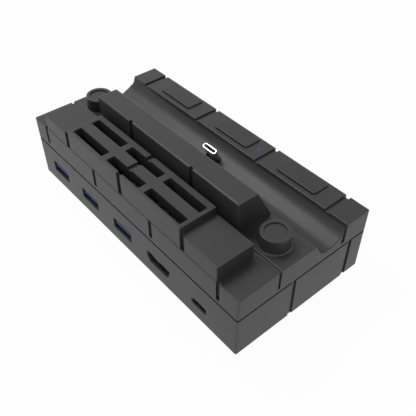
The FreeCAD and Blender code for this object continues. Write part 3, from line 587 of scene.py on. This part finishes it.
class DockFinish(bpy.types.PropertyGroup):
    """Colours and surface of the dock."""

    cover_colour: FloatVectorProperty(
        name="Cover", description="Colour of the cover and the tray", subtype="COLOR",
        default=(0.043, 0.043, 0.044), min=0.0, max=1.0)
    pad_colour: FloatVectorProperty(
        name="Pads", description="Colour of the lip pads", subtype="COLOR",
        default=(0.038, 0.038, 0.039), min=0.0, max=1.0)
    post_colour: FloatVectorProperty(
        name="Posts", description="Colour of the round posts", subtype="COLOR",
        default=(0.043, 0.043, 0.044), min=0.0, max=1.0)
    foot_colour: FloatVectorProperty(
        name="Feet", description="Colour of the rubber feet", subtype="COLOR",
        default=(0.018, 0.018, 0.018), min=0.0, max=1.0)
    blue_colour: FloatVectorProperty(
        name="Blue tongues", description="Colour of the data sockets' tongues", subtype="COLOR",
        default=(0.006, 0.032, 0.17), min=0.0, max=1.0)
    black_colour: FloatVectorProperty(
        name="Black tongues", description="Colour of the other inserts", subtype="COLOR",
        default=(0.012, 0.012, 0.012), min=0.0, max=1.0)
    # Painted shade: the steel is much darker than plain nickel, to stand in for the shade inside
    # the sockets.
    steel_colour: FloatVectorProperty(
        name="Socket steel", description="Colour of the socket shells", subtype="COLOR",
        default=(0.11, 0.11, 0.115), min=0.0, max=1.0)
    plug_colour: FloatVectorProperty(
        name="Plug steel", description="Colour of the console plug", subtype="COLOR",
        default=(0.5, 0.5, 0.5), min=0.0, max=1.0)
    contact_colour: FloatVectorProperty(
        name="Contacts", description="Colour of the gilt contacts", subtype="COLOR",
        default=(0.42, 0.28, 0.1), min=0.0, max=1.0)
    board_colour: FloatVectorProperty(
        name="Boards", description="Colour of the boards' lacquer", subtype="COLOR",
        default=(0.004, 0.075, 0.03), min=0.0, max=1.0)
    coil_colour: FloatVectorProperty(
        name="Coils", description="Colour of the coils' ferrite", subtype="COLOR",
        default=(0.045, 0.044, 0.046), min=0.0, max=1.0)
    thermal_colour: FloatVectorProperty(
        name="Thermal pads", description="Colour of the thermal pads", subtype="COLOR",
        default=(0.32, 0.4, 0.5), min=0.0, max=1.0)
    spreader_colour: FloatVectorProperty(
        name="Heat spreader", description="Colour of the heat spreader", subtype="COLOR",
        default=(0.7, 0.7, 0.71), min=0.0, max=1.0)
    capacitor_colour: FloatVectorProperty(
        name="Capacitors", description="Colour of the capacitors' cans", subtype="COLOR",
        default=(0.62, 0.62, 0.64), min=0.0, max=1.0)
    led_colour: FloatVectorProperty(
        name="Light source", description="Colour of the light source's lens", subtype="COLOR",
        default=(0.75, 0.78, 0.85), min=0.0, max=1.0)
    ribbon_colour: FloatVectorProperty(
        name="Ribbon", description="Colour of the ribbon's film", subtype="COLOR",
        default=(0.75, 0.76, 0.72), min=0.0, max=1.0)
    screw_colour: FloatVectorProperty(
        name="Screws", description="Colour of the screws' zinc", subtype="COLOR",
        default=(0.5, 0.5, 0.51), min=0.0, max=1.0)
    guide_colour: FloatVectorProperty(
        name="Light guide", description="Colour of the clear light guide", subtype="COLOR",
        default=(0.03, 0.05, 0.2), min=0.0, max=1.0)
    glow_colour: FloatVectorProperty(
        name="Status light", description="Colour of the light on the lip", subtype="COLOR",
        default=(0.03, 0.05, 0.9), min=0.0, max=1.0)
    glow_strength: FloatProperty(
        name="Status light strength", description="How strongly the tip glows",
        default=0.1, min=0.0)
    glow_length: FloatProperty(
        name="Status light length",
        description="Length of the guide's tip that glows",
        default=0.4 * MM, unit="LENGTH", precision=5)
    roughness: FloatProperty(
        name="Roughness", description="Roughness of the moulded plastic",
        default=0.37, min=0.0, max=1.0)
    ior: FloatProperty(
        name="Index of refraction", description="Sets how strongly the plastic mirrors",
        default=1.3, min=1.0)
    # Painted highlight: lightens the colour of rounded edges; it also lowers their roughness.
    edge_light: FloatProperty(
        name="Polished edges", description="How much lighter the edges are than the faces",
        default=1.2, min=0.0)
    grain_size: FloatProperty(
        name="Grain size", description="Size of the spark-eroded grain", default=0.28 * MM,
        unit="LENGTH", precision=5)
    grain_depth: FloatProperty(
        name="Grain depth", description="Depth of the spark-eroded grain", default=0.008 * MM,
        unit="LENGTH", precision=6)
    cloud_size: FloatProperty(
        name="Sheen patch size", description="Size of the slow changes of sheen", default=14 * MM,
        unit="LENGTH", precision=4)
    seat_angle: FloatProperty(
        name="Seat slope", description="Slope of the trough that the console stands on",
        default=math.radians(24), subtype="ANGLE")
    trough_front: FloatProperty(
        name="Trough front", description="Depth place where the round trough begins",
        default=6.5 * MM, unit="LENGTH", precision=4)
    trough_back: FloatProperty(
        name="Trough back", description="Depth place where the trough ends under the lip",
        default=22.1 * MM, unit="LENGTH", precision=4)
    back_angle: FloatProperty(
        name="Lean", description="Steepness of the backrest's leaning face",
        default=math.radians(61), subtype="ANGLE")


class DockStage(bpy.types.PropertyGroup):
    """Camera, floor and light."""

    camera_place: FloatVectorProperty(
        name="Camera place", description="Where the camera stands", subtype="TRANSLATION",
        default=(0.15687, -0.12116, 0.19276), precision=5)
    camera_target: FloatVectorProperty(
        name="Camera target", description="Point that the camera looks at", subtype="TRANSLATION",
        default=(0.01142, 0.00219, 0.011), precision=5)
    lens: FloatProperty(name="Lens", description="Focal length in millimetres", default=50.0)
    floor_size: FloatProperty(
        name="Floor size", description="Side of the floor", default=6.0, unit="LENGTH")
    floor_colour: FloatVectorProperty(
        name="Floor", description="Colour of the floor", subtype="COLOR",
        default=(0.9, 0.9, 0.9), min=0.0, max=1.0)
    floor_glow: FloatProperty(
        name="Floor white", description="Share of plain white that the floor shows to the camera",
        default=0.96, min=0.0, max=1.0)
    sky_strength: FloatProperty(
        name="Sky", description="Strength of the room's even light", default=0.27, min=0.0)
    lamp_distance: FloatProperty(
        name="Lamp distance", description="Distance of the lamps", default=0.9, unit="LENGTH")
    lamp_size: FloatProperty(
        name="Lamp size", description="Side of each lamp's window", default=0.45, unit="LENGTH")
    main_direction: FloatVectorProperty(
        name="Main lamp direction", description="Direction of the high main lamp from the dock",
        subtype="DIRECTION", default=(-0.46, -0.08, 0.88))
    main_power: FloatProperty(
        name="Main lamp power", description="Power of the main lamp", default=4.8, unit="POWER")
    front_direction: FloatVectorProperty(
        name="Front lamp direction", description="Direction of the lamp at the socket side",
        subtype="DIRECTION", default=(0.41, -0.71, 0.57))
    front_power: FloatProperty(
        name="Front lamp power", description="Power of the front lamp", default=0.7, unit="POWER")
    back_direction: FloatVectorProperty(
        name="Back lamp direction", description="Direction of the low lamp at the lip side",
        subtype="DIRECTION", default=(0.62, 0.62, 0.47))
    back_power: FloatProperty(
        name="Back lamp power", description="Power of the back lamp", default=0.8, unit="POWER")


class DockDetail(bpy.types.PropertyGroup):
    """Sizes of the small metal pieces."""

    strip_thickness: FloatProperty(
        name="Strip thickness", description="Thickness of contacts and springs", default=0.15 * MM,
        unit="LENGTH", precision=5)
    data_strip_width: FloatProperty(
        name="Data contact width", description="Width of the contacts of the data sockets",
        default=1.0 * MM, unit="LENGTH", precision=5)
    data_strip_count: IntProperty(
        name="Data contacts", description="Contacts in a data socket", default=4)
    video_strip_count: IntProperty(
        name="Video contacts", description="Contacts on each side of the video tongue", default=19)
    inlet_strip_count: IntProperty(
        name="Power contacts", description="Contacts on each side of the power tongue and the plug",
        default=12)
    nose_setback: FloatProperty(
        name="Tongue setback",
        description="How far the blue tongues end behind the mouth of their socket",
        default=0.15 * MM, unit="LENGTH", precision=5)
    nose_bevel: FloatProperty(
        name="Tongue bevel", description="Bevel round the front end of the blue tongues",
        default=0.25 * MM, unit="LENGTH", precision=5)
    fine_strip_width: FloatProperty(
        name="Fine contact width", description="Width of the video and power contacts",
        default=0.26 * MM, unit="LENGTH", precision=5)
    fine_strip_pitch: FloatProperty(
        name="Fine contact pitch", description="Spacing of the video and power contacts",
        default=0.5 * MM, unit="LENGTH", precision=5)
    fine_strip_setback: FloatProperty(
        name="Fine contact setback",
        description="How far behind a tongue's front its fine contacts begin",
        default=0.25 * MM, unit="LENGTH", precision=5)
    plug_contact_length: FloatProperty(
        name="Plug contact length",
        description="Length of the plug's contacts",
        default=1.8 * MM, unit="LENGTH", precision=5)
    plug_contact_setback: FloatProperty(
        name="Plug contact setback",
        description="How deep in the plug its contacts begin",
        default=2.4 * MM, unit="LENGTH", precision=5)
    plug_slot_half: FloatProperty(
        name="Plug slot",
        description="Half of the width of the plug's slot",
        default=0.4 * MM, unit="LENGTH", precision=5)
    tab_width: FloatProperty(
        name="Spring tab width", description="Width of the springs in a socket shell",
        default=2.0 * MM, unit="LENGTH", precision=5)
    tab_length: FloatProperty(
        name="Spring tab length", description="Length of the springs in a socket shell",
        default=5.5 * MM, unit="LENGTH", precision=5)
    tab_setback: FloatProperty(
        name="Spring tab setback",
        description="How far the springs begin behind the shell's mouth",
        default=1.6 * MM, unit="LENGTH", precision=5)
    thread_pitch: FloatProperty(
        name="Thread pitch", description="Pitch of the screw threads", default=0.8 * MM,
        unit="LENGTH", precision=5)


class DOCK_OT_stage(bpy.types.Operator):
    """Makes the camera, the floor, the lamps and the room's light."""

    bl_idname = "dock.stage"
    bl_label = "Camera, floor and light"

    def execute(self, context):
        stage = context.scene.dock_stage
        self.make_camera(context, stage)
        self.make_floor(stage)
        for name in ("main", "front", "back"):
            self.make_lamp(stage, name)
        self.make_sky(context, stage)
        context.scene.view_settings.view_transform = "Standard"
        return {"FINISHED"}

    def make_camera(self, context, stage):
        """Camera at the photo's viewing angle."""
        camera = add_object("camera", bpy.data.cameras.new("camera"))
        camera.data.lens = stage.lens
        camera.data.clip_start = 10 * MM
        place, target = Vector(stage.camera_place), Vector(stage.camera_target)
        camera.rotation_mode = "QUATERNION"
        camera.location = place
        camera.rotation_quaternion = (target - place).to_track_quat("-Z", "Y")
        context.scene.camera = camera

    def make_floor(self, stage):
        """Pale floor that looks white but still takes the dock's shadow."""
        half = stage.floor_size / 2
        mesh = bpy.data.meshes.new("floor")
        corners = [(-half, -half, 0), (half, -half, 0), (half, half, 0), (-half, half, 0)]
        mesh.from_pydata(corners, [], [(0, 1, 2, 3)])
        material, tree = new_material("floor")
        glow = self.seen_directly(tree) * stage.floor_glow
        paper = tree.add("ShaderNodeBsdfDiffuse", sockets={"Color": rgba(stage.floor_colour)})
        white = tree.add("ShaderNodeEmission", sockets={"Color": WHITE})
        mixed = tree.add("ShaderNodeMixShader", sockets={0: glow, 1: paper, 2: white})
        tree.add("ShaderNodeOutputMaterial", sockets={"Surface": mixed})
        mesh.materials.append(material)
        add_object("floor", mesh)

    def make_lamp(self, stage, name):
        """Soft window lamp that looks at the dock."""
        lamp = add_object(name + "_lamp", bpy.data.lights.new(name, "AREA"))
        lamp.data.size = stage.lamp_size
        lamp.data.energy = getattr(stage, name + "_power")
        towards = Vector(getattr(stage, name + "_direction")).normalized()
        lamp.location = towards * stage.lamp_distance
        lamp.rotation_mode = "QUATERNION"
        lamp.rotation_quaternion = (-towards).to_track_quat("-Z", "Y")

    def make_sky(self, context, stage):
        """Even light from all round, which looks white itself."""
        world = bpy.data.worlds.new("room")
        world.use_nodes = True
        world.node_tree.nodes.clear()
        tree = Tree(world.node_tree)
        strength = tree.spread(self.seen_directly(tree), stage.sky_strength, 1.0)
        sky = tree.add("ShaderNodeBackground", sockets={"Color": WHITE, "Strength": strength})
        tree.add("ShaderNodeOutputWorld", sockets={"Surface": sky})
        context.scene.world = world

    def seen_directly(self, tree):
        """1 for what the camera, a mirror or a clear part shows, 0 for light on the dock."""
        rays = tree.add("ShaderNodeLightPath").socket.node
        seen = 0.0
        for name in ("Is Camera Ray", "Is Glossy Ray", "Is Transmission Ray"):
            seen = tree.maths("MAXIMUM", Value(tree, rays.outputs[name]), seen)
        return seen


class DOCK_OT_mouldings(bpy.types.Operator):
    """Finishes the cover, the tray, the posts, the lip pads and the feet."""

    bl_idname = "dock.mouldings"
    bl_label = "Moulded housing"

    def execute(self, context):
        finish = context.scene.dock_finish
        dress("cover", moulded_plastic("cover_plastic", finish.cover_colour, finish))
        dress("case", moulded_plastic("tray_plastic", finish.cover_colour, finish))
        dress("pad", moulded_plastic("pad_plastic", finish.pad_colour, finish))
        dress("post", round_plastic("post_plastic", finish.post_colour, finish))
        dress("foot", soft_rubber("foot_rubber", finish.foot_colour, finish))
        return {"FINISHED"}


class DOCK_OT_sockets(bpy.types.Operator):
    """Finishes the five sockets and adds their contacts and spring tabs."""

    bl_idname = "dock.sockets"
    bl_label = "Sockets"

    def execute(self, context):
        finish, detail = context.scene.dock_finish, context.scene.dock_detail
        steel = drawn_metal("socket_steel", finish.steel_colour, 0.3, (1.0, 0.1, 1.0))
        gilt = drawn_metal("contact_gilt", finish.contact_colour, 0.22, (1.0, 0.15, 1.0))
        blue = gloss_plastic("blue_insert", finish.blue_colour, 0.5, finish.ior)
        dress("socket_steel", steel)
        dress("blue_insert", blue)
        dress("black_insert", gloss_plastic("black_insert", finish.black_colour, 0.35))
        strip_row_tree()
        for side in ("left", "middle", "right"):
            self.tongue_nose(detail, side, blue)
            self.data_contacts(detail, side, gilt)
            self.spring_tabs(detail, "data_shell_" + side, "data_springs_" + side, steel)
        self.fine_contacts(detail, "video", gilt, detail.video_strip_count)
        self.fine_contacts(detail, "inlet", gilt, detail.inlet_strip_count)
        self.spring_tabs(detail, "video_shell", "video_springs", steel)
        return {"FINISHED"}

    def tongue_nose(self, detail, side, blue):
        """Bevelled front end that brings the tongue of a data socket close to its mouth."""
        tongue = front_of("data_tongue_" + side)
        end = front_of("data_shell_" + side).y + detail.nose_setback
        rings = []
        for y, inset in ((tongue.y, 0.0), (end + detail.nose_bevel, 0.0), (end, detail.nose_bevel)):
            left = tongue.x - tongue.width / 2 + inset
            right = tongue.x + tongue.width / 2 - inset
            bottom, top = tongue.low + inset, tongue.high - inset
            rings.append(((left, y, bottom), (right, y, bottom), (right, y, top), (left, y, top)))
        name = "data_nose_" + side
        new_piece(name, ring_mesh(rings, name, [blue]))

    def data_contacts(self, detail, side, gilt):
        """Springy contacts under the tongue of a data socket."""
        tongue = front_of("data_tongue_" + side)
        length, setback = 0.62 * tongue.width, 0.08 * tongue.width
        side_margin = 0.4
        pitch = tongue.width / (detail.data_strip_count + side_margin)
        bend = (0.0, 0.45 * length, -4 * detail.strip_thickness)
        place = (tongue.x, tongue.y + setback, tongue.low - detail.strip_thickness / 2)
        name = "data_contacts_" + side
        mesh = strips(name, gilt, detail.data_strip_count, pitch,
                      (detail.data_strip_width, detail.strip_thickness),
                      ((0.0, 0.0, 0.0), bend, (0.0, length, 0.0)), place)
        new_piece(name, mesh)

    def fine_contacts(self, detail, socket, gilt, count):
        """Fine flat contacts on both sides of a narrow tongue."""
        tongue = front_of(socket + "_tongue")
        length = 0.45 * tongue.width
        thin = detail.strip_thickness / 3
        path = ((0.0, 0.0, 0.0), (0.0, length / 2, 0.0), (0.0, length, 0.0))
        name = socket + "_contacts"
        meshes = []
        for z in (tongue.low - thin / 2, tongue.high + thin / 2):
            place = (tongue.x, tongue.y + detail.fine_strip_setback, z)
            meshes.append(strips(name, gilt, count, detail.fine_strip_pitch,
                                 (detail.fine_strip_width, thin), path, place))
        new_piece(name, joined(meshes, name))

    def spring_tabs(self, detail, node, name, steel):
        """Two springs on the floor and two under the roof of a socket shell."""
        shell = front_of(node)
        thickness, length = detail.strip_thickness, detail.tab_length
        sheet, bow, pitch = 2 * thickness, 6.4 * thickness, 0.45 * shell.width
        meshes = []
        for z, rise in ((shell.low + sheet, 1), (shell.high - sheet, -1)):
            lift = rise * thickness / 2
            path = ((0.0, 0.0, lift), (0.0, 0.35 * length, rise * bow), (0.0, length, lift))
            meshes.append(strips(name, steel, 2, pitch, (detail.tab_width, thickness), path,
                                 (shell.x, shell.y + detail.tab_setback, z)))
        new_piece(name, joined(meshes, name))


class DOCK_OT_plug(bpy.types.Operator):
    """Finishes the console plug and adds the contacts in its slot."""

    bl_idname = "dock.plug"
    bl_label = "Console plug"

    def execute(self, context):
        finish, detail = context.scene.dock_finish, context.scene.dock_detail
        dress("plug_steel", drawn_metal("plug_steel", finish.plug_colour, 0.2, (1.0, 1.0, 0.1)))
        gilt = bpy.data.materials["contact_gilt"]
        tilt = finish.seat_angle
        out = Vector((0.0, -math.sin(tilt), math.cos(tilt)))
        across = Vector((0.0, math.cos(tilt), math.sin(tilt)))
        points = node_points("plug_core")
        top = max(p.dot(out) for p in points)
        side = [p.dot(across) for p in points]
        half = detail.plug_contact_length / 2
        middle = out * (top - detail.plug_contact_setback - half)
        middle += across * (min(side) + max(side)) / 2
        thin = detail.strip_thickness / 2
        path = ((0.0, -half, 0.0), (0.0, 0.0, 0.0), (0.0, half, 0.0))
        meshes = []
        for way in (-1, 1):
            place = middle + across * way * (detail.plug_slot_half - thin / 2)
            meshes.append(strips("plug_contacts", gilt, detail.inlet_strip_count,
                                 detail.fine_strip_pitch, (detail.fine_strip_width, thin), path,
                                 place, (math.pi / 2 + tilt, 0.0, 0.0)))
        new_piece("plug_contacts", joined(meshes, "plug_contacts"))
        return {"FINISHED"}


class DOCK_OT_boards(bpy.types.Operator):
    """Finishes the circuit boards, what they carry and the ribbon."""

    bl_idname = "dock.boards"
    bl_label = "Boards"

    def execute(self, context):
        finish = context.scene.dock_finish
        copper = finish.contact_colour
        dress("circuit_board", circuit_board_finish("board_lacquer", finish.board_colour, copper))
        dress("chip", chip_finish("chip_body", finish.black_colour))
        dress("coil", chip_finish("coil_ferrite", finish.coil_colour))
        dress("thermal_pad", soft_rubber("thermal_pad", finish.thermal_colour, finish))
        dress("spreader", drawn_metal("spreader_plate", finish.spreader_colour, 0.34,
                                      (0.1, 1.0, 1.0)))
        dress("capacitor", drawn_metal("capacitor_can", finish.capacitor_colour, 0.28,
                                       (1.0, 1.0, 0.1)))
        dress("led", gloss_plastic("led_lens", finish.led_colour, 0.2))
        dress("ribbon", ribbon_finish("ribbon_film", finish.ribbon_colour, copper))
        return {"FINISHED"}


class DOCK_OT_screws(bpy.types.Operator):
    """Puts screws with cross recesses and threads in place of the plain ones."""

    bl_idname = "dock.screws"
    bl_label = "Screws"

    def execute(self, context):
        finish, detail = context.scene.dock_finish, context.scene.dock_detail
        zinc = drawn_metal("screw_zinc", finish.screw_colour, 0.32)
        tree = copies_tree()
        plans = (
            ("case_screws", math.pi),
            ("board_screws", 0.0),
            ("plug_board_screws", math.pi + finish.seat_angle),
        )
        for node, tilt in plans:
            self.detailed(detail, tree, node, tilt, zinc)
        return {"FINISHED"}

    def detailed(self, detail, tree, node, tilt, zinc):
        """One group of like screws, measured on the modelled ones and tilted about X."""
        rotation = Matrix.Rotation(tilt, 3, "X")
        up = rotation @ Vector((0.0, 0.0, 1.0))
        side = rotation @ Vector((0.0, 1.0, 0.0))
        on_axis, rim_share = 0.1 * MM, 0.9
        seats = []
        for group in loose_groups(node):
            heights = [p.dot(up) for p in group]
            depths = [p.dot(side) for p in group]
            centre_x = (min(p.x for p in group) + max(p.x for p in group)) / 2
            centre_side = (min(depths) + max(depths)) / 2
            radii = [math.hypot(p.x - centre_x, d - centre_side) for p, d in zip(group, depths)]
            head_radius = max(radii)
            shank_radius = min(r for r in radii if r > on_axis)
            seat = min(h for h, r in zip(heights, radii) if r > rim_share * head_radius)
            seats.append(Vector((centre_x, 0.0, 0.0)) + side * centre_side + up * seat)
        mesh = screw_mesh(node + "_one", head_radius, max(heights) - seat, shank_radius,
                          seat - min(heights), detail.thread_pitch)
        one = add_object(node + "_one", mesh)
        start = bpy.data.meshes.new(node + "_seats")
        start.from_pydata([tuple(p) for p in seats], [], [])
        inputs = {"Piece": one, "Turn": (tilt, 0.0, 0.0), "Material": zinc}
        made = built_mesh(node + "_detailed", tree, inputs, start)
        bpy.data.objects.remove(one)
        piece = new_piece(node + "_detailed", made)
        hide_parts(node)


class DOCK_OT_status_light(bpy.types.Operator):
    """Finishes the light guide, whose tip glows on the lip."""

    bl_idname = "dock.status_light"
    bl_label = "Status light"

    def execute(self, context):
        finish = context.scene.dock_finish
        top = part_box("light_guide")[1][2]
        material = light_guide_finish("light_guide", finish.guide_colour, finish.glow_colour,
                                      top - finish.glow_length, finish.glow_strength)
        dress("light_guide", material)
        return {"FINISHED"}


class DOCK_PT_panel(bpy.types.Panel):
    """The dock's steps and sizes in the sidebar."""

    bl_label = "Console dock"
    bl_idname = "DOCK_PT_panel"
    bl_space_type = "VIEW_3D"
    bl_region_type = "UI"
    bl_category = "Console dock"

    def draw(self, context):
        for step in STEPS:
            self.layout.operator(step.bl_idname)
        scene = context.scene
        for group in (scene.dock_finish, scene.dock_stage, scene.dock_detail):
            box = self.layout.box()
            for name in group.__annotations__:
                box.prop(group, name)


STEPS = (
    DOCK_OT_stage,
    DOCK_OT_mouldings,
    DOCK_OT_sockets,
    DOCK_OT_plug,
    DOCK_OT_boards,
    DOCK_OT_screws,
    DOCK_OT_status_light,
)
CLASSES = (DockFinish, DockStage, DockDetail, *STEPS, DOCK_PT_panel)


def register():
    """Registers the classes and hangs the settings on the scene."""
    for made in CLASSES:
        bpy.utils.register_class(made)
    bpy.types.Scene.dock_finish = PointerProperty(type=DockFinish)
    bpy.types.Scene.dock_stage = PointerProperty(type=DockStage)
    bpy.types.Scene.dock_detail = PointerProperty(type=DockDetail)


def unregister():
    """Takes the settings and classes away again."""
    del bpy.types.Scene.dock_finish
    del bpy.types.Scene.dock_stage
    del bpy.types.Scene.dock_detail
    for made in reversed(CLASSES):
        bpy.utils.unregister_class(made)


def main():
    """Builds the whole dock."""
    register()
    for step in STEPS:
        space, name = step.bl_idname.split(".")
        getattr(getattr(bpy.ops, space), name)()


if __name__ == "__main__":
    main()
